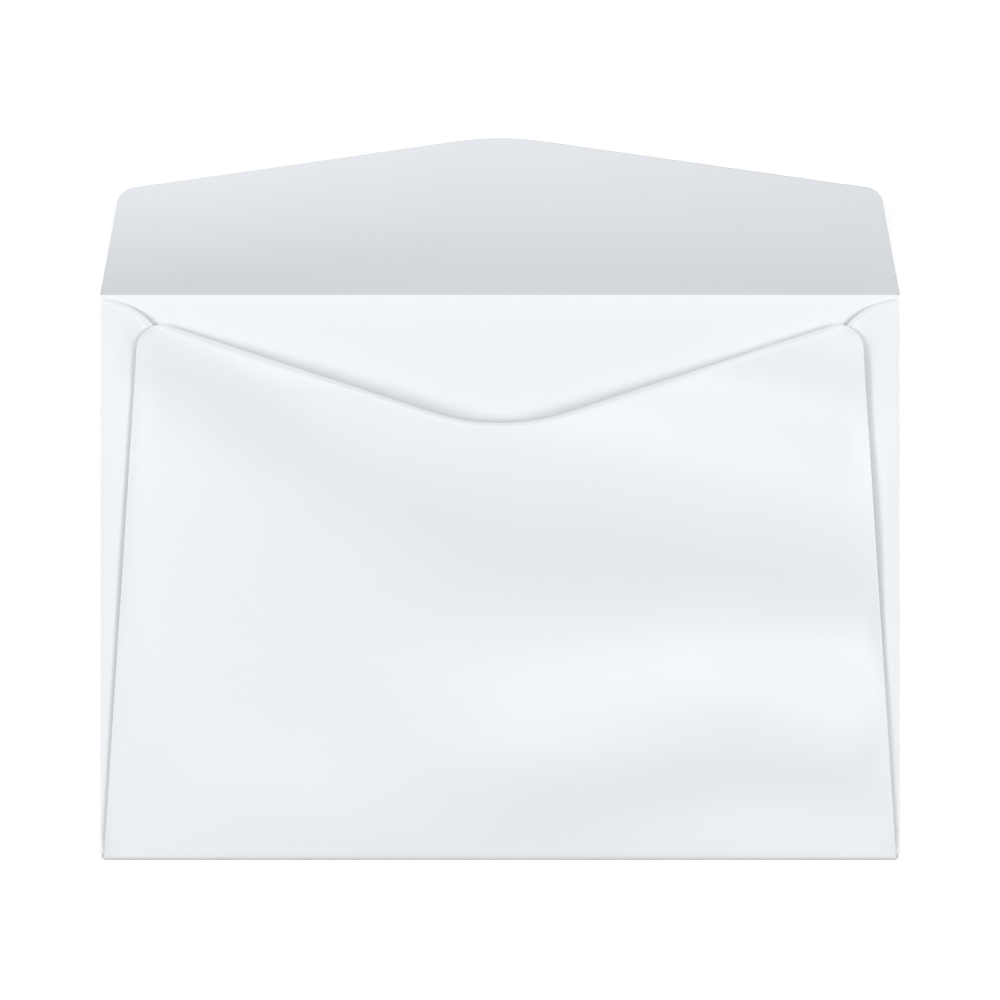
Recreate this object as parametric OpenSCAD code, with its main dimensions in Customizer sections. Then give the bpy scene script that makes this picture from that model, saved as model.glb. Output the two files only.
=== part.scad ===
// Paper envelope, one cut sheet of paper folded and gummed into a pocket.
// It lies on its front with the back panel up and the top flap open.
// Millimetres, +X to the right, +Y towards the flap, +Z up.
// The origin is the middle of the front panel, on the table.

/* [Pocket] */
// Width between the side folds
body_w = 162; // [150:1:230]
// Height from the bottom fold to the top crease
body_h = 114.5; // [105:0.5:162]
// Thickness of the paper
paper_t = 0.12; // [0.1:0.01:0.2]
// Inner radius of the pressed side folds
fold_r = 0.15; // [0.1:0.05:0.3]
// Rise of the back panel at an open mouth
gape = 5.2; // [2:0.1:10]
// How soon it rises, from an even rise at 1 to an early one at 3
belly = 2.5; // [1.5:0.1:3]

/* [Back panel] */
// Inset of its lower corners from the side folds
panel_inset = 0.8; // [0.5:0.05:2]
// Lean of its side edges from upright
panel_lean = 3.68; // [2:0.02:6]
// Drop of its sharp upper corners below the crease
panel_drop = 4.6; // [3:0.1:8]
// Slope of the two straight halves of the throat
throat_slope = 18.2; // [10:0.1:24]
// Radius at the middle of the throat
throat_r = 45; // [20:1:80]
// Radius of the upper corners
panel_corner_r = 5; // [3:0.5:8]

/* [Side flaps] */
// Width gummed under the back panel
gum_w = 12; // [6:1:20]
// Gap between their lower ends and the bottom fold
side_gap = 0.9; // [0.8:0.1:2]

/* [Top flap] */
// Length at its sharp corners, along the paper
flap_side = 25.3; // [20:0.1:34]
// Lean of its side edges from upright
flap_lean = 9.6; // [4:0.1:16]
// Slope of its top edges
flap_slope = 8.7; // [4:0.1:14]
// Radius of its corners
flap_corner_r = 4; // [2:0.5:8]
// Radius at its tip
flap_tip_r = 60; // [30:5:90]
// Angle it stands at just past the crease
flap_rise = 40; // [30:1:60]
// Radius of the curl that eases it towards the tip
flap_curl_r = 100; // [90:5:300]

/* [Hidden] */
t = paper_t;
side_ro = fold_r + t;
foot_ro = side_ro + t / 2;
side_x = body_w / 2 - side_ro;
foot_y = foot_ro - body_h / 2;
fold_steps = 6;
crease_r = fold_r + t;
crease_y = body_h / 2 - crease_r * tan(flap_rise / 2);
crease_len = crease_r * flap_rise * PI / 180;
panel_split = 17.5;
flap_split = 45;

function lerp(a, b, f) = a * (1 - f) + b * f;
function last(v) = v[len(v) - 1];
function steps(a, b, n) = [for (i = [0:n]) lerp(a, b, i / n)];

// A tapered outline has side edges that lean in and a top edge in two
// straight halves that meet in a rounded middle. Its corners are round.
function corner_centre(p, lean, slope, r) =
    p - r * tan((90 - lean + slope) / 2) * [cos(slope), sin(slope)]
    + r * [sin(slope), -cos(slope)];
function corner_arc(c, r, a0, a1, n) =
    [for (a = steps(a0, a1, n)) c + r * [sin(a), cos(a)]];

// The right side going up, from its foot to the split of the corner arc.
function side_points(foot, c, r, lean, split, first, n, nc) =
    let (
        top_y = c.y + r * sin(lean),
        run = c.x + r * cos(lean) - foot.x,
        rise = top_y - foot.y,
        up = [for (y = concat([0], steps(first, rise, n))) foot + [run * y / rise, y]],
        arc = corner_arc(c, r, 90 - lean, split, nc)
    )
    concat(up, [for (i = [1:nc]) arc[i]]);

// The right half of the top edge, from the middle to the split.
function top_points(p, c, r, slope, mid_r, split, nm, ns, nc) =
    let (
        s = sign(slope),
        apex = p.y - p.x * tan(slope),
        mid_y = apex + s * mid_r / cos(slope),
        mid = [for (a = steps(0, abs(slope), nm)) [mid_r * sin(a), mid_y - s * mid_r * cos(a)]],
        arc = corner_arc(c, r, -slope, split, nc),
        line = [for (f = [1:ns - 1]) lerp(last(mid), arc[0], f / ns)]
    )
    concat(mid, line, arc);

// A point of the outline's inside, in column i and row r.
function inside(side, top, i, r) =
    let (f = (side[r].y - side[0].y) / (last(side).y - side[0].y))
    [top[i].x * side[r].x / last(side).x, lerp(side[0].y, top[i].y, f)];

// Back panel outline, seen from above.
panel_p = let (y = body_h / 2 - panel_drop)
    [body_w / 2 - panel_inset - (y - foot_y) * tan(panel_lean), y];
panel_c = corner_centre(panel_p, panel_lean, throat_slope, panel_corner_r);
panel_side = side_points([body_w / 2 - panel_inset, foot_y], panel_c, panel_corner_r,
    panel_lean, panel_split, side_gap, 13, 5);
panel_top = top_points(panel_p, panel_c, panel_corner_r, throat_slope, throat_r,
    panel_split, 5, 8, 4);
rows = len(panel_side) - 1;
cols = len(panel_top) - 1;
mouth = last(panel_top);

// The pocket gapes: its back rises from the side folds and the bottom fold.
function rise(p) =
    let (across = p.x / side_x, down = (body_h / 2 - p.y) / (body_h - foot_ro))
    gape * (1 - pow(across, 2)) * (1 - pow(down, belly));
function on_panel(p) = [p.x, p.y, 2 * side_ro + t + rise(p)];
function under_panel(p) = [p.x, p.y, 2 * side_ro + rise(p)];
function under_side(p) = [p.x, p.y, 2 * side_ro - t + rise(p)];
function panel(i, r) = inside(panel_side, panel_top, i, r);

// The gummed strip is narrow at both ends, where the side flap is cut slanting.
function gummed(r) =
    let (y = panel_side[r].y)
    min(gum_w, last(panel_side).y - y, y - panel_side[1].y);
function pocket(i, r) =
    let (edge = panel(cols - 1, r).x)
    [panel(i, r).x * (edge - max(0, gummed(r))) / edge, panel(i, r).y];

// Side flap: its top edge curves down from the side fold to the mouth corner.
brow_a0 = 5;
brow_a1 = 45;
brow_steps = 5;
brow_r = (side_x - mouth.x) / (sin(brow_a1) - sin(brow_a0));
brow_y = mouth.y + brow_r * (cos(brow_a0) - cos(brow_a1));
brow = [for (a = steps(brow_a0, brow_a1, brow_steps))
    [side_x - brow_r * (sin(a) - sin(brow_a0)), brow_y - brow_r * (cos(brow_a0) - cos(a))]];
function side_flap(k, r) =
    let (
        f = (panel_side[r].y - foot_y) / (mouth.y - foot_y),
        g = (side_x - brow[k].x) / (side_x - mouth.x)
    )
    [lerp(side_x, panel(cols, r).x, g), lerp(foot_y, brow[k].y, f)];

// Half turns of the paper round a fold, from the front panel upwards.
function side_turn(y, rad) =
    [for (a = steps(-90, 90, fold_steps)) [side_x + rad * cos(a), y, side_ro + rad * sin(a)]];
function foot_turn(i, rad) =
    [for (a = steps(-90, 90, fold_steps))
        [panel(i, 0).x, foot_y - rad * cos(a), foot_ro + rad * sin(a)]];

// Top flap outline, laid out flat from the end of the crease.
flap_p = [body_w / 2 - flap_side * tan(flap_lean), flap_side];
flap_c = corner_centre(flap_p, flap_lean, -flap_slope, flap_corner_r);
flap_edge = side_points([body_w / 2, crease_len], flap_c, flap_corner_r,
    flap_lean, flap_split, 1, 7, 3);
flap_top = top_points(flap_p, flap_c, flap_corner_r, -flap_slope, flap_tip_r,
    flap_split, 4, 8, 3);
flap_rows = len(flap_edge) - 1;
flap_cols = len(flap_top) - 1;

// The flap's section: a tight bend at the crease, then one wide curl.
function bend(x, a, up) =
    [x, crease_y + (crease_r - up) * sin(a), crease_r - (crease_r - up) * cos(a)];
function curl(p, up) =
    let (
        a = flap_rise - (p.y - crease_len) / flap_curl_r * 180 / PI,
        r = flap_curl_r + up,
        start = bend(0, flap_rise, 0)
    )
    [p.x, start.y + flap_curl_r * sin(flap_rise) - r * sin(a),
        start.z - flap_curl_r * cos(flap_rise) + r * cos(a)];
function flap(i, r, up) = curl(inside(flap_edge, flap_top, i, r), up);
function crease_x(i) = inside(flap_edge, flap_top, i, 0).x;
function flap_rows_of(i, up) = concat(
    [for (a = steps(0, flap_rise, 4)) bend(crease_x(i), a, up)],
    [for (r = [1:flap_rows]) flap(i, r, up)]);

// The front panel's rim, anticlockwise from above, right half then left half.
foot_rim = [for (i = [0:cols]) [panel(i, 0).x, foot_y]];
fold_rim = [for (r = [1:rows]) [side_x, side_flap(0, r).y]];
crease_rim = [for (i = [flap_cols:-1:0]) [crease_x(i), crease_y]];
right_rim = concat(foot_rim, [[side_x, foot_y]], fold_rim, crease_rim);
rim = concat(right_rim, [for (i = [len(right_rim) - 2:-1:1]) [-right_rim[i].x, right_rim[i].y]]);
function at(v, z) = [for (p = v) [p.x, p.y, z]];

// The right half of the sheet as grids of points, one for each of its faces.
// True marks a grid whose outside is on the left hand of its turn from the
// columns to the rows. The left half is its mirror image.
function across(grid) = [for (i = [0:len(grid[0]) - 1]) [for (row = grid) row[i]]];
function walls(v) = [at(v, 0), at(v, t)];

top_skin = [for (r = [0:rows]) [for (i = [0:cols]) on_panel(panel(i, r))]];
foot_strip = [for (r = [0:1]) [for (i = [0:cols]) under_panel(panel(i, r))]];
pocket_skin = [for (r = [1:rows]) [for (i = [0:cols - 1]) under_panel(pocket(i, r))]];
foot_out = across([for (i = [0:cols]) foot_turn(i, foot_ro)]);
foot_in = across([for (i = [0:cols]) foot_turn(i, foot_ro - t)]);
throat_edge = [last(top_skin), concat(last(pocket_skin), [under_panel(panel(cols, rows))])];
flap_out = across([for (i = [0:flap_cols]) flap_rows_of(i, 0)]);
flap_in = across([for (i = [0:flap_cols]) flap_rows_of(i, t)]);

panel_edge = [
    concat(foot_turn(cols, foot_ro), [for (r = [1:rows]) on_panel(panel(cols, r))]),
    concat(foot_turn(cols, foot_ro - t), [for (r = [1:rows]) under_panel(panel(cols, r))])
];
side_top = [for (r = [1:rows])
    [for (k = [0:brow_steps]) under_panel(side_flap(k, r))]];
side_under = [for (r = [1:rows])
    concat([for (k = [0:brow_steps]) under_side(side_flap(k, r))],
        [under_side(pocket(cols - 1, r))])];
gum_end = [
    [for (r = [1:rows]) under_panel(pocket(cols - 1, r))],
    [for (r = [1:rows]) under_side(pocket(cols - 1, r))]
];
turn_out = [for (r = [1:rows]) side_turn(side_flap(0, r).y, side_ro)];
turn_in = [for (r = [1:rows]) side_turn(side_flap(0, r).y, fold_r)];
function side_end(r) =
    [
        concat(turn_out[r - 1], [for (k = [1:brow_steps]) side_top[r - 1][k]],
            [under_panel(pocket(cols - 1, r))]),
        concat(turn_in[r - 1], [for (k = [1:brow_steps + 1]) side_under[r - 1][k]])
    ];

right_grids = [
    [top_skin, false],
    [foot_strip, true],
    [pocket_skin, true],
    [foot_out, false],
    [foot_in, true],
    [throat_edge, false],
    [flap_out, true],
    [flap_in, false],
    [[last(flap_in), last(flap_out)], false],
    [panel_edge, true],
    [side_top, true],
    [side_under, false],
    [gum_end, false],
    [turn_out, true],
    [turn_in, false],
    [side_end(1), false],
    [side_end(rows), true],
    [walls([last(foot_rim), [side_x, foot_y], fold_rim[0]]), false],
    [walls([last(fold_rim), crease_rim[0]]), false],
    [[[for (row = flap_in) last(row)], [for (row = flap_out) last(row)]], true]
];
left_grids = [for (g = right_grids)
    [[for (row = g[0]) [for (p = row) [-p.x, p.y, p.z]]], !g[1]]];
grids = concat(right_grids, left_grids);

// Corners that two skins share are rounded alike, so the skins close.
function tidy(p) = [for (c = p) round(c * 10000) / 10000];
function flat(grid) = [for (row = grid) for (p = row) tidy(p)];
function grid_faces(g, at) =
    let (n = len(g[0][0]))
    [for (r = [0:len(g[0]) - 2]) for (i = [0:n - 2])
        let (a = at + r * n + i, b = a + 1, c = b + n, d = a + n)
        each g[1] ? [[a, b, c], [a, c, d]] : [[a, c, b], [a, d, c]]];
sizes = [for (g = grids) len(g[0]) * len(g[0][0])];
starts = [for (i = 0, s = 0; i < len(grids); s = s + sizes[i], i = i + 1) s];
grid_points = [for (g = grids) each flat(g[0])];

// Both faces of the flat front panel, as fans round its middle.
n_rim = len(rim);
fan_at = len(grid_points);
fan_points = concat([[0, 0, 0]], flat([at(rim, 0)]), [[0, 0, t]], flat([at(rim, t)]));
function fan_faces(c, up) =
    [for (i = [0:n_rim - 1])
        let (a = c + 1 + i, b = c + 1 + (i + 1) % n_rim)
        up ? [c, b, a] : [c, a, b]];

module paper_sheet() {
    color([0.93, 0.94, 0.95])
    polyhedron(
        points = concat(grid_points, fan_points),
        faces = concat(
            [for (i = [0:len(grids) - 1]) each grid_faces(grids[i], starts[i])],
            fan_faces(fan_at, false),
            fan_faces(fan_at + n_rim + 1, true)),
        convexity = 8);
}

paper_sheet();
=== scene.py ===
"""Paper envelope: one folded sheet of white paper, lying on its front with its flap open."""

import math
from collections import namedtuple

import bmesh
import bpy
import numpy as np
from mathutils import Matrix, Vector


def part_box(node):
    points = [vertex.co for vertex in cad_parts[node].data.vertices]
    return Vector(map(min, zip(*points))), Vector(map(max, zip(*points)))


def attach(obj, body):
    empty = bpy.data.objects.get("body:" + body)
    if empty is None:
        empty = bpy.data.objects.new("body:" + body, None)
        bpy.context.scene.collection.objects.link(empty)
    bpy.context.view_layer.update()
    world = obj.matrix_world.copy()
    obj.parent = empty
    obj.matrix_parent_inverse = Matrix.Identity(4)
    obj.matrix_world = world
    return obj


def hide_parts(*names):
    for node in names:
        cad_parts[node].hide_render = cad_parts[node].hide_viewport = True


bl_info = {
    "name": "Paper envelope",
    "version": (1, 0, 0),
    "blender": (4, 5, 0),
    "location": "View3D > Sidebar > Envelope",
    "description": "A folded paper envelope with soft waves, and the pale stage it lies on",
    "category": "Mesh",
}

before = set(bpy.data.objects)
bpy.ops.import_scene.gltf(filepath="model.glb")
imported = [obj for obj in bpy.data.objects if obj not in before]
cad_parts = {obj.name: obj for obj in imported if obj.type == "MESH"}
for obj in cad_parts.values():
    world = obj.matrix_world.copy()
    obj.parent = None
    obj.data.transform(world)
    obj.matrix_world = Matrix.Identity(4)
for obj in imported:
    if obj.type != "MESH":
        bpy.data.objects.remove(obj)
SHEET_LOW, SHEET_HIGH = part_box("paper_sheet")

# One millimetre in the scene's metres
MM = 0.001

# First of the two material slots, outer and inner side, of plain paper, of the back panel over
# the gum and of a side flap under it.
# The gum faces hidden in these seams are dark: painted shade that deepens the shadows along the
# seams.
PAPER, PANEL_SEAM, FLAP_SEAM = 0, 2, 4

# Outline of the back panel: its foot's inset from the side fold, its sharp upper corner's
# drop below the crease, its sides' lean and its throat. A split angle, measured from
# upright, parts the arc of a corner between the side and the top edge.
PANEL_INSET = 0.8 * MM
PANEL_DROP = 4.3 * MM
PANEL_LEAN = math.radians(3.68)
PANEL_CORNER_R = 5 * MM
PANEL_SPLIT = math.radians(17.5)
THROAT_SLOPE = math.radians(18.2)
THROAT_R = 45 * MM

# Outline of the top flap, flat on the paper, then its angle past the crease, the radius of
# its curl and the way along it from the crease to the tip
FLAP_SIDE = 25.3 * MM
FLAP_LEAN = math.radians(9.6)
FLAP_SLOPE = math.radians(-8.7)
FLAP_CORNER_R = 4 * MM
FLAP_SPLIT = math.radians(45)
FLAP_TIP_R = 60 * MM
FLAP_RISE = math.radians(40)
FLAP_CURL_R = 100 * MM
FLAP_LENGTH = 36.2 * MM

# Side flaps: the gap between their lower ends and the bottom fold, their width under the
# back panel, at the ends and what is added between them, and the gap left for the gum
SIDE_GAP = 0.9 * MM
GUM_END = 1 * MM
GUM_WIDTH = 12 * MM
LAYER_GAP = 0.02 * MM

# Their top edges: how far the arc tilts at the fold and at the back panel's corner, and how
# far it is raised at the fold
BROW_TILTS = (math.radians(5), math.radians(45))
BROW_LIFT = 0.5 * MM

# A span, here and below, is where a smooth step starts and where it ends.

# Pressed edges: the height of the bottom fold's foremost line as a share of its radius, the
# power of its slant, the heights over which the panel's margin starts to lift, and the way
# along a side flap's top edge over which its lip starts
FOOT_NOSE = 0.4
FOOT_SLANT = 1.4
LIFT_SPAN = (0, 5 * MM)
LIP_SPAN = (0.02, 0.2)

# Side flaps between fold and gum: how far they are pressed down, the share of their height
# where the free top end starts, how far that springs up and what share of the sag it loses
SIDE_PRESS = 0.25 * MM
FREE_SPAN = (0.88, 1)
SIDE_SPRING = 0.42 * MM
FREE_SAG_LOSS = 0.5

# Waves of the back panel: the y of their middle line at x = 0, its climb to the left, the x
# left of which it also bends upwards, and the factor of the squared way by which it bends
LINE_Y = 12.6 * MM
LINE_CLIMB = 0.165
LINE_BEND_X = -5 * MM
LINE_BEND = 6.15

# Their length above that line, at x = 0, and its growth to the left, and their length below
# the line, on the right, and what is added to it on the left
LENGTH_ABOVE = 62.317 * MM
ABOVE_GROWTH = 0.27
LENGTH_BELOW = 46.5 * MM
BELOW_GROWTH = 30 * MM
BELOW_SPAN = (-5 * MM, 55 * MM)

# Their lead in radians, the share by which they are higher below, and where they turn from
# the one step on the left into waves on the right
WAVE_LEAD = 0.2
LOW_GAIN = 0.5
LOW_SPAN = (-25 * MM, 20 * MM)
RIGHT_SPAN = (-45 * MM, 15 * MM)

# That step's height as a share of the waves', and its width and its end in their radians
STEP_HEIGHT = 1.15
STEP_WIDTH = 0.8
STEP_SPAN = (0.8, 7)

# Where the waves start, away from the side folds, the bottom fold and the crease
WAVE_SIDE_SPAN = (0, 9 * MM)
WAVE_FOOT_SPAN = (0, 22 * MM)
WAVE_CREASE_SPAN = (3 * MM, 20 * MM)

# Hollow in the back panel's lower half: its depth, where it starts and ends above the
# bottom fold, and where it starts away from the side folds
HOLLOW = 0.8 * MM
HOLLOW_START_SPAN = (0, 30 * MM)
HOLLOW_END_SPAN = (30 * MM, 85 * MM)
HOLLOW_SIDE_SPAN = (0, 25 * MM)

# Dimple in the hollow: the same, then the x of its middle and where it ends to each side
DIMPLE = 0.65 * MM
DIMPLE_START_SPAN = (0, 20 * MM)
DIMPLE_END_SPAN = (20 * MM, 95 * MM)
DIMPLE_X = 6 * MM
DIMPLE_SIDE_SPAN = (5 * MM, 55 * MM)

# Top flap: its bulge, the share by which it bulges more on the left, how far its left end
# hangs lower and its right end stands higher, level with the tip, and where both start
FLAP_BULGE = 0.5 * MM
LEFT_BULGE_GAIN = 1.5
LEFT_FALL = 3.2 * MM
RIGHT_RISE = 2.6 * MM
TWIST_SPAN = (0, 80 * MM)

# Points of the grids. Columns are finer over the panel's margins, from a share of its half
# width outwards.
MARGIN_FROM = 0.94
MIDDLE_COLUMNS, MARGIN_COLUMNS = 60, 13
BROW_COLUMNS, GUM_COLUMNS, SIDE_FOLD_COLUMNS = 11, 9, 13
PANEL_ROWS, PANEL_CORNER_ROWS = 84, 12
FLAP_FIRST_ROW = 0.3 * MM
FLAP_ROWS, FLAP_CORNER_ROWS = 28, 8
FOOT_ROWS, CREASE_ROWS = 8, 7

# The distance within which points are merged, and the angle from which an edge is sharp
MERGE_DISTANCE = 0.003 * MM
SHARP_ANGLE = math.radians(40)

# Paper: the tone of its outside as a share of its colour, its inside's share of the sheen,
# how strongly the fibre grain shows on each side, the grain's height and how much finer it
# is along y, and the refraction of the sheen
OUTSIDE_TONE = 0.955
INSIDE_SHEEN = 1 / 3
OUTSIDE_GRAIN, INSIDE_GRAIN = 0.15, 0.3
GRAIN_HEIGHT = 0.02 * MM
FIBRE_SCALE = (1.0, 2.2, 1.0)
SHEEN_IOR = 1.9

# Stage: the floor's height, and its white for the envelope and for the camera
WHITE = (1.0, 1.0, 1.0, 1.0)
FLOOR_Z = -0.05 * MM
FLOOR_LIT, FLOOR_SEEN = 0.5, 1.62

# Lamps: the left and the right one's share of the round lamps' power, the sides of the two
# overhead, and how much nearer the strip is
LEFT_SHARE, RIGHT_SHARE = 1.02, 0.96
WIDE_LAMP = (0.8, 0.6)
STRIP_LAMP = (0.9, 0.3)
STRIP_NEARER = 0.05

# Settings


class EnvelopeShape(bpy.types.PropertyGroup):
    """Sizes of the folded sheet"""

    body_width: bpy.props.FloatProperty(
        name="Width", description="Width between the side folds",
        default=SHEET_HIGH[0] - SHEET_LOW[0], unit="LENGTH")
    body_height: bpy.props.FloatProperty(
        name="Height", description="Height from the bottom fold to the top crease",
        default=-2 * SHEET_LOW[1], unit="LENGTH")
    thickness: bpy.props.FloatProperty(
        name="Paper", description="Thickness of the paper", default=0.12 * MM, unit="LENGTH")
    fold_radius: bpy.props.FloatProperty(
        name="Fold radius", description="Inner radius of the pressed folds",
        default=0.15 * MM, unit="LENGTH")
    gape: bpy.props.FloatProperty(
        name="Gape", description="Rise of the back panel at an open mouth",
        default=5.2 * MM, unit="LENGTH")
    belly: bpy.props.FloatProperty(
        name="Belly", description="How soon the back panel rises, from 1 to 3", default=2.5)
    wave_slope: bpy.props.FloatProperty(
        name="Wave slope", description="Steepest slope of the soft waves in the back panel",
        default=math.radians(5), unit="ROTATION")
    foot_press: bpy.props.FloatProperty(
        name="Foot press", description="How far the bottom fold's slant runs up the panel",
        default=0.3 * MM, unit="LENGTH")
    lip_press: bpy.props.FloatProperty(
        name="Lip press", description="How far the free top edges are pressed down",
        default=0.32 * MM, unit="LENGTH")
    lip_width: bpy.props.FloatProperty(
        name="Lip width", description="Width of the pressed strip along the free top edges",
        default=0.8 * MM, unit="LENGTH")
    seam_lift: bpy.props.FloatProperty(
        name="Seam lift", description="How far the ungummed edges of the back panel stand off",
        default=0.5 * MM, unit="LENGTH")
    seam_margin: bpy.props.FloatProperty(
        name="Seam margin", description="Width of the ungummed edges of the back panel",
        default=4.5 * MM, unit="LENGTH")
    seam_sag: bpy.props.FloatProperty(
        name="Side flap sag", description="Share of its rise that a side flap hangs back by",
        default=0.65)


class EnvelopePaper(bpy.types.PropertyGroup):
    """Colour and surface of the paper"""

    colour: bpy.props.FloatVectorProperty(
        name="Colour", description="Base colour of the paper", subtype="COLOR", size=3,
        default=(0.860, 0.888, 0.922), min=0, max=1)
    fibre_size: bpy.props.FloatProperty(
        name="Fibre size", description="Size of the fibre grain", default=0.35 * MM,
        unit="LENGTH")
    cloud_size: bpy.props.FloatProperty(
        name="Cloud size", description="Size of the faint clouds in the paper",
        default=14 * MM, unit="LENGTH")
    cloud_depth: bpy.props.FloatProperty(
        name="Cloud depth", description="How much the clouds change the colour", default=0.02)
    roughness: bpy.props.FloatProperty(
        name="Roughness", description="Roughness of the paper itself", default=0.6)
    # Tone of the gum strips under the back panel's margins: the gum is real, but this dark tone
    # is painted shade that deepens the shadows along the seams
    gum_shade_tone: bpy.props.FloatProperty(
        name="Gum painted shade tone", description="Share of the paper's colour under dried gum",
        default=0.45)
    sheen: bpy.props.FloatProperty(
        name="Sheen", description="Weight of the calendered surface's gloss", default=0.8)
    sheen_roughness: bpy.props.FloatProperty(
        name="Sheen roughness", description="Roughness of that gloss", default=0.25)


class EnvelopeStage(bpy.types.PropertyGroup):
    """Floor, light and camera"""

    floor_size: bpy.props.FloatProperty(
        name="Floor", description="Side of the square floor", default=1.2, unit="LENGTH")
    lamp_distance: bpy.props.FloatProperty(
        name="Lamp distance", description="Distance of the lamps from the envelope",
        default=1.3, unit="LENGTH")
    lamp_size: bpy.props.FloatProperty(
        name="Lamp size", description="Diameter of the round lamps", default=0.6,
        unit="LENGTH")
    side_power: bpy.props.FloatProperty(
        name="Side lamps", description="Watts of a round lamp, left or right, before its share",
        default=8.92)
    top_power: bpy.props.FloatProperty(
        name="Top lamp", description="Watts of the wide lamp overhead", default=1.1)
    strip_power: bpy.props.FloatProperty(
        name="Strip lamp", description="Watts of the narrow strip overhead", default=1.42)
    fill: bpy.props.FloatProperty(
        name="Fill", description="Strength of the even light from all round", default=0.05)
    view_width: bpy.props.FloatProperty(
        name="View width", description="Width of the floor that the picture shows",
        default=202.5 * MM, unit="LENGTH")
    view_rise: bpy.props.FloatProperty(
        name="View centre", description="Centre of the picture above the pocket's middle",
        default=15.69 * MM, unit="LENGTH")
    camera_height: bpy.props.FloatProperty(
        name="Camera height", description="Height of the camera over the floor", default=3.0,
        unit="LENGTH")


# Outlines

# The right half of an outline: its foot, its sharp upper corner, the lean of its side, the
# slope of its top edge, the radii of its corner and its middle, and its split angle
Outline = namedtuple(
    "Outline", "foot_x foot_y corner_x corner_y lean slope corner_r mid_r split")


def corner_centre(o):
    """Centre of the corner's arc: from the sharp corner back along the top edge by the
    tangent length, then one radius square to that edge into the paper."""
    reach = o.corner_r * math.tan((math.pi / 2 - o.lean + o.slope) / 2)
    x = o.corner_x - reach * math.cos(o.slope) + o.corner_r * math.sin(o.slope)
    y = o.corner_y - reach * math.sin(o.slope) - o.corner_r * math.cos(o.slope)
    return x, y


def side_curve(o, first, straight, arc):
    """Right side from the foot up: a straight line that leans in, then the corner's arc as
    far as the split angle. The first row stands at a given height above the foot. Returns x
    and y."""
    cx, cy = corner_centre(o)
    turn = np.linspace(math.pi / 2 - o.lean, o.split, arc + 1)
    arc_x = cx + o.corner_r * np.sin(turn)
    arc_y = cy + o.corner_r * np.cos(turn)
    share = np.concatenate(([0], np.linspace(first / (arc_y[0] - o.foot_y), 1, straight)))
    x = np.concatenate((o.foot_x + (arc_x[0] - o.foot_x) * share, arc_x[1:]))
    y = np.concatenate((o.foot_y + (arc_y[0] - o.foot_y) * share, arc_y[1:]))
    return x, y


def top_edge(o, x):
    """Height of the top edge at x: a circle in the middle, a straight slope, then the
    corner's circle. A positive slope makes a throat, a negative one a pointed flap."""
    x = np.abs(x)
    sign = math.copysign(1, o.slope)
    apex = o.corner_y - o.corner_x * math.tan(o.slope)
    mid = apex + sign * (
        o.mid_r / math.cos(o.slope) - np.sqrt(np.maximum(o.mid_r**2 - x**2, 0)))
    line = apex + x * math.tan(o.slope)
    cx, cy = corner_centre(o)
    corner = cy + np.sqrt(np.maximum(o.corner_r**2 - (x - cx) ** 2, 0))
    y = np.where(x < o.mid_r * math.sin(abs(o.slope)), mid, line)
    return np.where(x > cx - o.corner_r * math.sin(o.slope), corner, y)


def spread(o, across, side):
    """Points inside an outline. Columns stand at fixed shares of the half width, rows start
    at the side's points, and every column rises in the same proportion."""
    side_x, side_y = side
    share = (side_y - side_y[0]) / (side_y[-1] - side_y[0])
    top = top_edge(o, across * side_x[-1])
    x = side_x[:, None] * across[None, :]
    y = side_y[0] + share[:, None] * (top[None, :] - side_y[0])
    return x, y


# Form of the folded sheet


def smooth(x, low, high):
    """A smooth step: 0 below low, 1 above high, and 3 t squared less 2 t cubed between."""
    t = np.clip((x - low) / (high - low), 0, 1)
    return t * t * (3 - 2 * t)


def fade(x, low, high):
    """The same step falling: 1 below low and 0 above high."""
    return smooth(-x, -high, -low)


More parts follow.
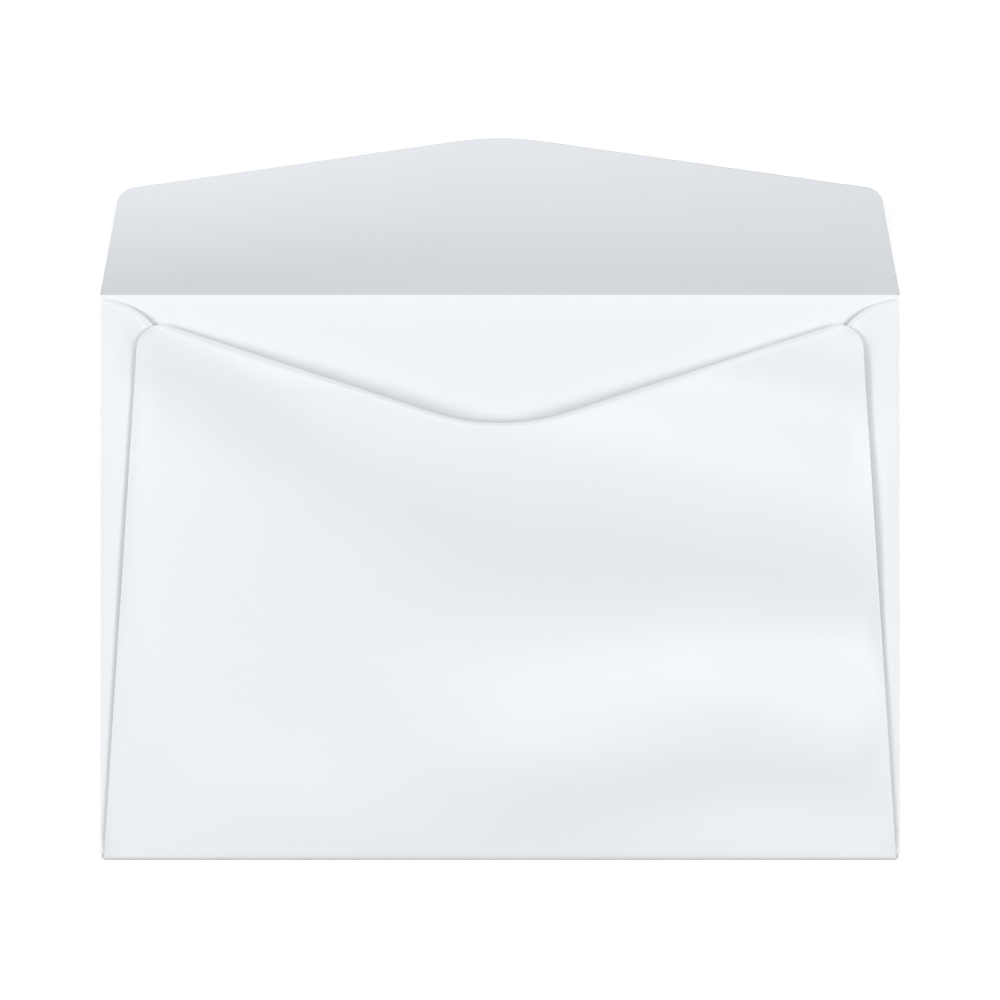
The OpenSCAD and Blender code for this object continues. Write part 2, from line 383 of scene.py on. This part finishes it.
class Fold:
    """Shared sizes of the folded sheet, worked out from the settings."""

    def __init__(self, s):
        self.s = s
        self.half_x, self.half_y = s.body_width / 2, s.body_height / 2
        self.fold_r = s.fold_radius + s.thickness
        self.foot_r = self.fold_r + (s.thickness + LAYER_GAP) / 2
        self.side_x = self.half_x - self.fold_r
        self.foot_y = self.foot_r - self.half_y
        self.crease_y = self.half_y - self.fold_r * math.tan(FLAP_RISE / 2)
        self.crease_len = self.fold_r * FLAP_RISE

        foot_x, corner_y = self.half_x - PANEL_INSET, self.half_y - PANEL_DROP
        corner_x = foot_x - (corner_y - self.foot_y) * math.tan(PANEL_LEAN)
        self.panel = Outline(
            foot_x, self.foot_y, corner_x, corner_y, PANEL_LEAN, THROAT_SLOPE,
            PANEL_CORNER_R, THROAT_R, PANEL_SPLIT)
        corner_x = self.half_x - FLAP_SIDE * math.tan(FLAP_LEAN)
        self.flap = Outline(
            self.half_x, self.crease_len, corner_x, FLAP_SIDE, FLAP_LEAN, FLAP_SLOPE,
            FLAP_CORNER_R, FLAP_TIP_R, FLAP_SPLIT)

        middle = np.linspace(0, MARGIN_FROM, MIDDLE_COLUMNS)
        half = np.concatenate((middle, np.linspace(MARGIN_FROM, 1, MARGIN_COLUMNS + 1)[1:]))
        self.across = np.concatenate((-half[:0:-1], half))
        self.panel_side = side_curve(self.panel, SIDE_GAP, PANEL_ROWS, PANEL_CORNER_ROWS)
        self.flap_side = side_curve(self.flap, FLAP_FIRST_ROW, FLAP_ROWS, FLAP_CORNER_ROWS)
        self.panel_x, self.panel_y = spread(self.panel, self.across, self.panel_side)
        self.brow()

    def brow(self):
        """The top edge of a side flap, from its fold to the back panel's corner: an arc that
        tilts more and more, raised by one less the fourth power of the way."""
        end_x, end_y = self.panel_side[0][-1], self.panel_side[1][-1]
        tilt = np.linspace(*BROW_TILTS, BROW_COLUMNS)
        radius = (self.side_x - end_x) / (math.sin(tilt[-1]) - math.sin(tilt[0]))
        self.brow_way = radius * (np.sin(tilt) - math.sin(tilt[0])) / (self.side_x - end_x)
        lift = BROW_LIFT * (1 - self.brow_way**4)
        self.brow_y = end_y + radius * (np.cos(tilt) - math.cos(tilt[-1])) + lift

    def lip(self, share, top):
        """How far a free top edge is pressed down, by the square of the way into its lip. The
        share is that of the height from the foot to the edge. The gummed ends of the side
        flaps are pressed down with the back panel on them."""
        near = np.clip(1 - (1 - share) * (top - self.foot_y) / self.s.lip_width, 0, 1)
        return self.s.lip_press * near**2

    def gaping(self, x, y):
        """How far the pocket gapes: a parabola across the width, zero at the side folds,
        times one less a power of the share of the height left to the crease."""
        across = x / self.side_x
        left = (self.half_y - y) / (self.s.body_height - self.foot_r)
        return self.s.gape * (1 - across**2) * (1 - np.maximum(left, 0) ** self.s.belly)

    def wave(self, x, y):
        """Soft waves in the pocket's back, which die out towards the folds. Their middle line
        climbs to the left, and bends upwards there by the square of the way. Their length
        grows to the left, and has one value above that line and one below. On the right they
        are a sine along the height, whose angle runs a little ahead halfway through each
        turn. On the left they are one shallow step, a hyperbolic tangent of that angle,
        which levels out again below. Their height is their slope times their length over
        two pi, and half as much again below."""
        line = LINE_Y - LINE_CLIMB * x + LINE_BEND * np.maximum(LINE_BEND_X - x, 0) ** 2
        above = LENGTH_ABOVE - ABOVE_GROWTH * x
        below = LENGTH_BELOW + BELOW_GROWTH * fade(x, *BELOW_SPAN)
        length = np.where(y > line, above, below)
        turn = 2 * math.pi * (line - y) / length
        turn = turn + WAVE_LEAD * np.sin(turn / 2) ** 2
        step = STEP_HEIGHT * np.tanh(turn / STEP_WIDTH) * fade(turn, *STEP_SPAN)
        right = smooth(x, *RIGHT_SPAN)
        height = self.s.wave_slope * length / (2 * math.pi) * (1 + LOW_GAIN * fade(y, *LOW_SPAN))
        room = smooth(self.side_x - np.abs(x), *WAVE_SIDE_SPAN)
        room = room * smooth(y - self.foot_y, *WAVE_FOOT_SPAN)
        room = room * smooth(self.half_y - y, *WAVE_CREASE_SPAN)
        return -height * room * (right * np.sin(turn) + (1 - right) * step)

    def hollow(self, x, y):
        """A shallow hollow along the lower half of the pocket's back, with a dimple in its
        middle. Both are products of smooth steps."""
        up = y - self.foot_y
        hollow = HOLLOW * smooth(up, *HOLLOW_START_SPAN) * fade(up, *HOLLOW_END_SPAN)
        dimple = DIMPLE * smooth(up, *DIMPLE_START_SPAN) * fade(up, *DIMPLE_END_SPAN)
        dimple = dimple * fade(np.abs(x - DIMPLE_X), *DIMPLE_SIDE_SPAN)
        return (hollow + dimple) * smooth(self.side_x - np.abs(x), *HOLLOW_SIDE_SPAN)

    def rise(self, x, y):
        """Rise of the pocket's back, with its waves, and its hollow taken off."""
        return self.gaping(x, y) + self.wave(x, y) - self.hollow(x, y)

    def panel_edge(self, y):
        """Half width of the back panel at a height, along its straight side."""
        o = self.panel
        return o.foot_x - (y - o.foot_y) * math.tan(o.lean)

    def panel_height(self, x, y, edge_x):
        """Outside of the back panel. Its ungummed margin lifts with the square of the way
        to the free edge, and its lip is pressed down."""
        near = np.clip(1 - (edge_x - np.abs(x)) / self.s.seam_margin, 0, 1)
        lift = self.s.seam_lift * near**2 * smooth(y - self.foot_y, *LIFT_SPAN)
        lip = self.lip((y - self.foot_y) / (y[-1:] - self.foot_y), y[-1:])
        base = 2 * self.fold_r + self.s.thickness + LAYER_GAP
        return base + self.rise(x, y) + lift - lip

    def side_height(self, x, y, share):
        """Outside of a side flap. Between its fold and the gum it hangs back from the
        pocket's rise, and is pressed down, by a half sine of the square of the way, which is
        deepest at the back panel's edge. Its free top end, at the last share of its height,
        hangs back less and springs up by the square of that sine instead."""
        gum_x = self.panel_edge(y) - self.s.seam_margin
        way = np.clip((self.side_x - np.abs(x)) / (self.side_x - gum_x), 0, 1)
        half_sine = np.sin(math.pi * way**2)
        free = smooth(share, *FREE_SPAN)
        sag = self.s.seam_sag * half_sine * (1 - FREE_SAG_LOSS * free)
        spring = (SIDE_SPRING * free * half_sine - SIDE_PRESS * (1 - free)) * half_sine
        return 2 * self.fold_r + self.rise(x, y) * (1 - sag) + spring


def grid(x, y, z):
    """Stacks three arrays that broadcast together into one grid of points."""
    return np.stack(np.broadcast_arrays(x, y, z), axis=-1)


def back_panel(f):
    """The back panel, and its bottom fold, which is pressed flatter than a half turn: a
    quarter ellipse up from the table to its foremost line, which lies low, and then a curve
    back up to the panel that runs between an ellipse and a plain slant."""
    edge_x = f.panel_side[0][:, None]
    top = grid(f.panel_x, f.panel_y, f.panel_height(f.panel_x, f.panel_y, edge_x))
    top[0, :, 1] += f.s.foot_press
    x, front = f.panel_x[0][None, :], f.foot_y - f.foot_r
    turn = np.linspace(0, math.pi / 2, FOOT_ROWS)[:, None]
    nose_z = FOOT_NOSE * f.foot_r
    low = grid(x, f.foot_y - f.foot_r * np.sin(turn), nose_z * (1 - np.cos(turn)))
    high = grid(
        x, front + (f.foot_r + f.s.foot_press) * (1 - np.cos(turn) ** FOOT_SLANT),
        nose_z + (top[0, :, 2] - nose_z) * np.sin(turn) ** FOOT_SLANT)
    high[-1] = top[0]
    foot = np.concatenate((low[:-1], high))
    seam = MARGIN_COLUMNS
    # The margins take the seam slots: their dark gum underside is painted shade for the seams'
    # shadows
    return [
        (top[:, :seam + 1], False, PANEL_SEAM), (top[:, seam:-seam], False, PAPER),
        (top[:, -seam - 1:], False, PANEL_SEAM), (foot, False, PAPER)]


def side_flap(f, hand):
    """One side flap, hand 1 for the right and -1 for the left: the half turn of its fold,
    the strip as far as the back panel's edge, and the gummed strip under that panel."""
    rows_x, rows_y = f.panel_side[0][1:], f.panel_side[1][1:]
    share = ((rows_y - f.foot_y) / (rows_y[-1] - f.foot_y))[:, None]
    x = f.side_x + (rows_x[:, None] - f.side_x) * f.brow_way[None, :]
    y = f.foot_y + share * (f.brow_y[None, :] - f.foot_y)
    strip_lip = f.lip(share, f.brow_y[None, :]) * smooth(f.brow_way, *LIP_SPAN)
    strip = grid(hand * x, y, f.side_height(hand * x, y, share) - strip_lip)

    from_ends = np.minimum(rows_y[-1] - rows_y, rows_y - rows_y[0])
    gum = (GUM_END + np.minimum(GUM_WIDTH, from_ends))[:, None]
    inner = 1 - gum / rows_x[:, None] * np.linspace(0, 1, GUM_COLUMNS)[None, :]
    gum_x = rows_x[:, None] * inner
    top = top_edge(f.panel, inner * rows_x[-1])
    gum_y = f.foot_y + share * (top - f.foot_y)
    under_z = f.side_height(hand * gum_x, gum_y, share) - f.lip(share, top)
    under = grid(hand * gum_x, gum_y, under_z)

    turn = np.linspace(-math.pi / 2, math.pi / 2, SIDE_FOLD_COLUMNS)[None, :]
    fold = grid(
        hand * (f.side_x + f.fold_r * np.cos(turn)), y[:, :1],
        f.fold_r + f.fold_r * np.sin(turn))
    fold[:, -1] = strip[:, 0]
    turned = hand > 0
    # The gummed strip takes the seam slots: its dark gum top is painted shade for the seams'
    # shadows
    return [(strip, turned, PAPER), (under, turned, FLAP_SEAM), (fold, turned, PAPER)]


def front_panel(f):
    """The flat front panel, in the columns of the back panel's foot and the rows of the
    side folds, with one more row at each end."""
    rows_y = f.panel_side[1][1:]
    share = (rows_y - f.foot_y) / (rows_y[-1] - f.foot_y)
    y = f.foot_y + share * (f.brow_y[0] - f.foot_y)
    y = np.concatenate(([f.foot_y], y, [f.crease_y]))
    x = np.concatenate(([-f.side_x], f.panel_x[0], [f.side_x]))
    x = np.tile(x, (len(y), 1))
    x[-1, [0, -1]] = (-f.half_x, f.half_x)
    return [(grid(x, y[:, None], 0.0), True, PAPER)]


def top_flap(f):
    """The open flap. Its outline lies flat on the paper and is carried along its section: a
    tight arc at the crease, then one wide arc whose angle falls with the way along it."""
    base = np.concatenate(([-f.half_x], f.panel_x[0], [f.half_x]))
    x, way = spread(f.flap, base / f.half_x, f.flap_side)
    angle = np.linspace(0, FLAP_RISE, CREASE_ROWS)[:, None]
    bend = grid(
        base[None, :], f.crease_y + f.fold_r * np.sin(angle),
        f.fold_r - f.fold_r * np.cos(angle))
    angle = FLAP_RISE - (way - f.crease_len) / FLAP_CURL_R
    y = bend[-1, 0, 1] + FLAP_CURL_R * (math.sin(FLAP_RISE) - np.sin(angle))
    z = bend[-1, 0, 2] + FLAP_CURL_R * (np.cos(angle) - math.cos(FLAP_RISE))
    curl = grid(x, y, z + flap_wave(f, x, way))
    curl[0] = bend[-1]
    return [(bend, True, PAPER), (curl, True, PAPER)]


def flap_wave(f, x, way):
    """How far the flap stands above its plain curl: a bulge that is half a sine along it and
    higher on the left, and a twist that grows with the square of the way along it, so that
    its left end hangs lower and its right end stands higher."""
    along = (way - f.crease_len) / FLAP_LENGTH
    left, right = smooth(-x, *TWIST_SPAN), smooth(x, *TWIST_SPAN)
    bulge = FLAP_BULGE * (1 + LEFT_BULGE_GAIN * left) * np.sin(math.pi * along)
    return bulge + (RIGHT_RISE * right - LEFT_FALL * left) * along**2


def weld(grids, name):
    """One mesh from grids of points. Each grid's quads run from column to row, or against
    that where it is marked turned, and take its pair of materials. Points that two grids
    share are merged."""
    points, quads, pairs, start = [], [], [], 0
    for cells, turned, pair in grids:
        rows, cols = cells.shape[:2]
        index = start + np.arange(rows * cols).reshape(rows, cols)
        corners = [index[:-1, :-1], index[:-1, 1:], index[1:, 1:], index[1:, :-1]]
        if turned:
            corners.reverse()
        quads.append(np.stack(corners, axis=-1).reshape(-1, 4))
        points.append(cells.reshape(-1, 3))
        pairs.append(np.full(len(quads[-1]), pair))
        start += rows * cols
    mesh = bpy.data.meshes.new(name)
    mesh.from_pydata(np.concatenate(points).tolist(), [], np.concatenate(quads).tolist())
    mesh.polygons.foreach_set("material_index", np.concatenate(pairs))
    work = bmesh.new()
    work.from_mesh(mesh)
    bmesh.ops.remove_doubles(work, verts=work.verts, dist=MERGE_DISTANCE)
    work.to_mesh(mesh)
    work.free()
    return mesh


def thicken(piece, thickness):
    """Gives the sheet its thickness on the inside of its folds, as plain mesh, and marks the
    cut edges sharp so that the wide faces shade evenly up to them."""
    solid = piece.modifiers.new("Paper thickness", "SOLIDIFY")
    solid.thickness = thickness
    solid.offset = -1
    solid.use_even_offset = True
    solid.material_offset = 1
    graph = bpy.context.evaluated_depsgraph_get()
    made = bpy.data.meshes.new_from_object(piece.evaluated_get(graph))
    plain, piece.data = piece.data, made
    piece.modifiers.clear()
    bpy.data.meshes.remove(plain)
    made.name = piece.name
    made.polygons.foreach_set("use_smooth", np.ones(len(made.polygons), dtype=bool))
    made.set_sharp_from_angle(angle=SHARP_ANGLE)


# Materials


def put(made, values):
    """Sets inputs of a node, each by its name or its number."""
    for key, value in values.items():
        made.inputs[key].default_value = value


def node(tree, kind, inputs=None, **properties):
    """A node with its properties and some of its inputs set."""
    made = tree.nodes.new(kind)
    for key, value in properties.items():
        setattr(made, key, value)
    put(made, inputs or {})
    return made


def paper_grain():
    """A group of faint clouds, as paper shows where its fibres lie thick or thin, and of
    fine fibre grain. The clouds multiply the colour by one plus their depth times a noise
    that is centred on zero. It puts out the colour and the height of the grain."""
    group = bpy.data.node_groups.new("Paper grain", "ShaderNodeTree")
    for name, way, kind in (
            ("Colour", "INPUT", "Color"), ("Fibre scale", "INPUT", "Float"),
            ("Cloud scale", "INPUT", "Float"), ("Cloud depth", "INPUT", "Float"),
            ("Colour", "OUTPUT", "Color"), ("Height", "OUTPUT", "Float")):
        group.interface.new_socket(name=name, in_out=way, socket_type="NodeSocket" + kind)
    link = group.links.new
    given = node(group, "NodeGroupInput")
    out = node(group, "NodeGroupOutput")
    place = node(group, "ShaderNodeTexCoord")

    cloud = node(group, "ShaderNodeTexNoise", {"Detail": 4.0, "Roughness": 0.55})
    link(place.outputs["Object"], cloud.inputs["Vector"])
    link(given.outputs["Cloud scale"], cloud.inputs["Scale"])
    centred = node(group, "ShaderNodeMath", {1: 0.5}, operation="SUBTRACT")
    link(cloud.outputs["Fac"], centred.inputs[0])
    depth = node(group, "ShaderNodeMath", {2: 1.0}, operation="MULTIPLY_ADD")
    link(centred.outputs[0], depth.inputs[0])
    link(given.outputs["Cloud depth"], depth.inputs[1])
    tint = node(group, "ShaderNodeVectorMath", operation="SCALE")
    link(given.outputs["Colour"], tint.inputs[0])
    link(depth.outputs[0], tint.inputs["Scale"])
    link(tint.outputs[0], out.inputs["Colour"])

    stretch = node(group, "ShaderNodeMapping", {"Scale": FIBRE_SCALE})
    link(place.outputs["Object"], stretch.inputs["Vector"])
    fibre = node(
        group, "ShaderNodeTexNoise", {"Detail": 3.0, "Roughness": 0.6, "Distortion": 0.8})
    link(stretch.outputs["Vector"], fibre.inputs["Vector"])
    link(given.outputs["Fibre scale"], fibre.inputs["Scale"])
    link(fibre.outputs["Fac"], out.inputs["Height"])
    return group


def paper_material(name, paper, grain, tone, sheen, bump):
    """One side of the paper: white with a faint cool cast, a soft sheen and fibre grain.
    Its tone is the share of the paper's colour."""
    material = bpy.data.materials.new(name)
    material.use_nodes = True
    tree = material.node_tree
    shader = tree.nodes["Principled BSDF"]
    put(shader, {
        "Roughness": paper.roughness, "Coat Weight": sheen,
        "Coat Roughness": paper.sheen_roughness, "Coat IOR": SHEEN_IOR})
    surface = node(tree, "ShaderNodeGroup", node_tree=grain)
    put(surface, {
        "Colour": (*(tone * part for part in paper.colour), 1.0),
        "Fibre scale": 1 / paper.fibre_size,
        "Cloud scale": 1 / paper.cloud_size, "Cloud depth": paper.cloud_depth})
    relief = node(tree, "ShaderNodeBump", {"Strength": bump, "Distance": GRAIN_HEIGHT})
    tree.links.new(surface.outputs["Colour"], shader.inputs["Base Color"])
    tree.links.new(surface.outputs["Height"], relief.inputs["Height"])
    tree.links.new(relief.outputs["Normal"], shader.inputs["Normal"])
    return material


def sheet_materials(paper):
    """The materials in the order of the slots. The outside is a little darker than the inside,
    which has less sheen and more grain.
    The gum under the back panel's margins is real, but its dark, even and glossy tone is painted
    shade that deepens the seams' shadows."""
    grain = paper_grain()
    outside = paper_material(
        "Paper outside", paper, grain, OUTSIDE_TONE, paper.sheen, OUTSIDE_GRAIN)
    inside = paper_material(
        "Paper inside", paper, grain, 1.0, INSIDE_SHEEN * paper.sheen, INSIDE_GRAIN)
    # Dark gum on the hidden faces in the seams: painted shade that darkens the shadows along
    # them
    gum = paper_material("Seam gum painted shade", paper, grain, paper.gum_shade_tone, 1.0, 0.0)
    return outside, inside, outside, gum, gum, inside


def light_path_white(tree):
    """A value of 1 where the camera, a gloss or a clear body looks, and 0 for plain light."""
    path = node(tree, "ShaderNodeLightPath")
    gloss = node(tree, "ShaderNodeMath", operation="MAXIMUM")
    seen = node(tree, "ShaderNodeMath", operation="MAXIMUM")
    tree.links.new(path.outputs["Is Glossy Ray"], gloss.inputs[0])
    tree.links.new(path.outputs["Is Transmission Ray"], gloss.inputs[1])
    tree.links.new(path.outputs["Is Camera Ray"], seen.inputs[0])
    tree.links.new(gloss.outputs[0], seen.inputs[1])
    return seen.outputs[0]


# Stage


def floor_material():
    """White floor, brighter to the camera than to the envelope, so that the picture keeps
    only its deep shadows."""
    material = bpy.data.materials.new("White floor")
    material.use_nodes = True
    tree = material.node_tree
    tree.nodes.clear()
    tone = node(tree, "ShaderNodeMapRange", {"To Min": FLOOR_LIT, "To Max": FLOOR_SEEN})
    matt = node(tree, "ShaderNodeBsdfDiffuse")
    out = node(tree, "ShaderNodeOutputMaterial")
    tree.links.new(light_path_white(tree), tone.inputs["Value"])
    tree.links.new(tone.outputs["Result"], matt.inputs["Color"])
    tree.links.new(matt.outputs[0], out.inputs["Surface"])
    return material


def make_floor(stage):
    """A square floor just under the paper."""
    half = stage.floor_size / 2
    corners = [(-half, -half), (half, -half), (half, half), (-half, half)]
    mesh = bpy.data.meshes.new("floor")
    mesh.from_pydata([(x, y, FLOOR_Z) for x, y in corners], [], [(0, 1, 2, 3)])
    mesh.materials.append(floor_material())
    floor = bpy.data.objects.new("floor", mesh)
    bpy.context.collection.objects.link(floor)


def make_lamp(name, power, size, distance, turn, height):
    """A lamp that faces the envelope. Its turn is measured from the flap's side towards the
    left, its height from the floor upwards, both in degrees. A round lamp has one size."""
    data = bpy.data.lights.new(name, "AREA")
    data.shape = "DISK" if len(size) == 1 else "RECTANGLE"
    data.size = size[0]
    if len(size) == 2:
        data.size_y = size[1]
    data.energy = power
    turn, height = math.radians(turn), math.radians(height)
    flat = distance * math.cos(height)
    lamp = bpy.data.objects.new(name, data)
    lamp.location = (
        -flat * math.sin(turn), flat * math.cos(turn), distance * math.sin(height))
    lamp.rotation_mode = "QUATERNION"
    lamp.rotation_quaternion = lamp.location.to_track_quat("Z", "Y")
    lamp.visible_camera = False
    bpy.context.collection.objects.link(lamp)


def make_lamps(stage):
    """A round lamp on each side, a wide lamp overhead that stands a little to the front, and
    a narrow strip overhead that stands a little to the flap's side, so that the waves of the
    paper show in its sheen."""
    disk, far = (stage.lamp_size,), stage.lamp_distance
    near = far - STRIP_NEARER
    make_lamp("left_lamp", LEFT_SHARE * stage.side_power, disk, far, turn=84, height=42)
    make_lamp("right_lamp", RIGHT_SHARE * stage.side_power, disk, far, turn=-84, height=46)
    make_lamp("top_lamp", stage.top_power, WIDE_LAMP, far, turn=180, height=85)
    make_lamp("strip_lamp", stage.strip_power, STRIP_LAMP, near, turn=0, height=81)


def make_world(stage):
    """Even light from all round, and plain white where the background shows."""
    world = bpy.data.worlds.new("Pale studio")
    world.use_nodes = True
    tree = world.node_tree
    tree.nodes.clear()
    soft = node(tree, "ShaderNodeBackground", {"Color": WHITE, "Strength": stage.fill})
    white = node(tree, "ShaderNodeBackground", {"Color": WHITE})
    mix = node(tree, "ShaderNodeMixShader")
    out = node(tree, "ShaderNodeOutputWorld")
    tree.links.new(light_path_white(tree), mix.inputs["Fac"])
    tree.links.new(soft.outputs[0], mix.inputs[1])
    tree.links.new(white.outputs[0], mix.inputs[2])
    tree.links.new(mix.outputs[0], out.inputs["Surface"])
    bpy.context.scene.world = world


def make_camera(stage):
    """A long lens straight overhead, upright with the flap at the top of the picture."""
    data = bpy.data.cameras.new("overhead_camera")
    data.sensor_width = 36.0
    data.lens = data.sensor_width * stage.camera_height / stage.view_width
    data.clip_end = 20.0
    camera = bpy.data.objects.new("overhead_camera", data)
    camera.location = (0.0, stage.view_rise, stage.camera_height)
    bpy.context.collection.objects.link(camera)
    bpy.context.scene.camera = camera


# Operators and panel


class ENVELOPE_OT_sheet(bpy.types.Operator):
    """Make the folded sheet of paper"""

    bl_idname = "envelope.sheet"
    bl_label = "Folded sheet"

    def execute(self, context):
        fold = Fold(context.scene.envelope_shape)
        grids = front_panel(fold) + back_panel(fold) + top_flap(fold)
        grids += side_flap(fold, 1) + side_flap(fold, -1)
        sheet = bpy.data.objects.new("folded_sheet", weld(grids, "folded_sheet"))
        context.collection.objects.link(sheet)
        for material in sheet_materials(context.scene.envelope_paper):
            sheet.data.materials.append(material)
        thicken(sheet, fold.s.thickness)
        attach(sheet, "root")
        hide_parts("paper_sheet")
        return {"FINISHED"}


class ENVELOPE_OT_stage(bpy.types.Operator):
    """Make the floor, the light and the camera"""

    bl_idname = "envelope.stage"
    bl_label = "Stage"

    def execute(self, context):
        stage = context.scene.envelope_stage
        make_floor(stage)
        make_lamps(stage)
        make_world(stage)
        make_camera(stage)
        context.scene.view_settings.view_transform = "Standard"
        return {"FINISHED"}


class ENVELOPE_PT_pieces(bpy.types.Panel):
    """The envelope's pieces and their settings"""

    bl_label = "Paper envelope"
    bl_idname = "ENVELOPE_PT_pieces"
    bl_space_type = "VIEW_3D"
    bl_region_type = "UI"
    bl_category = "Envelope"

    def draw(self, context):
        scene = context.scene
        for settings in (scene.envelope_shape, scene.envelope_paper, scene.envelope_stage):
            box = self.layout.box()
            for key in settings.__annotations__:
                box.prop(settings, key)
        for operator in (ENVELOPE_OT_sheet, ENVELOPE_OT_stage):
            self.layout.operator(operator.bl_idname)


CLASSES = (
    EnvelopeShape, EnvelopePaper, EnvelopeStage,
    ENVELOPE_OT_sheet, ENVELOPE_OT_stage, ENVELOPE_PT_pieces,
)


def register():
    """Registers the classes and hangs the settings on the scene."""
    for made in CLASSES:
        bpy.utils.register_class(made)
    bpy.types.Scene.envelope_shape = bpy.props.PointerProperty(type=EnvelopeShape)
    bpy.types.Scene.envelope_paper = bpy.props.PointerProperty(type=EnvelopePaper)
    bpy.types.Scene.envelope_stage = bpy.props.PointerProperty(type=EnvelopeStage)


def unregister():
    """Takes the settings and the classes away again."""
    del bpy.types.Scene.envelope_stage
    del bpy.types.Scene.envelope_paper
    del bpy.types.Scene.envelope_shape
    for made in reversed(CLASSES):
        bpy.utils.unregister_class(made)


def main():
    """Makes the stage and the envelope."""
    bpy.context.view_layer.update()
    register()
    bpy.ops.envelope.stage()
    bpy.ops.envelope.sheet()


if __name__ == "__main__":
    main()
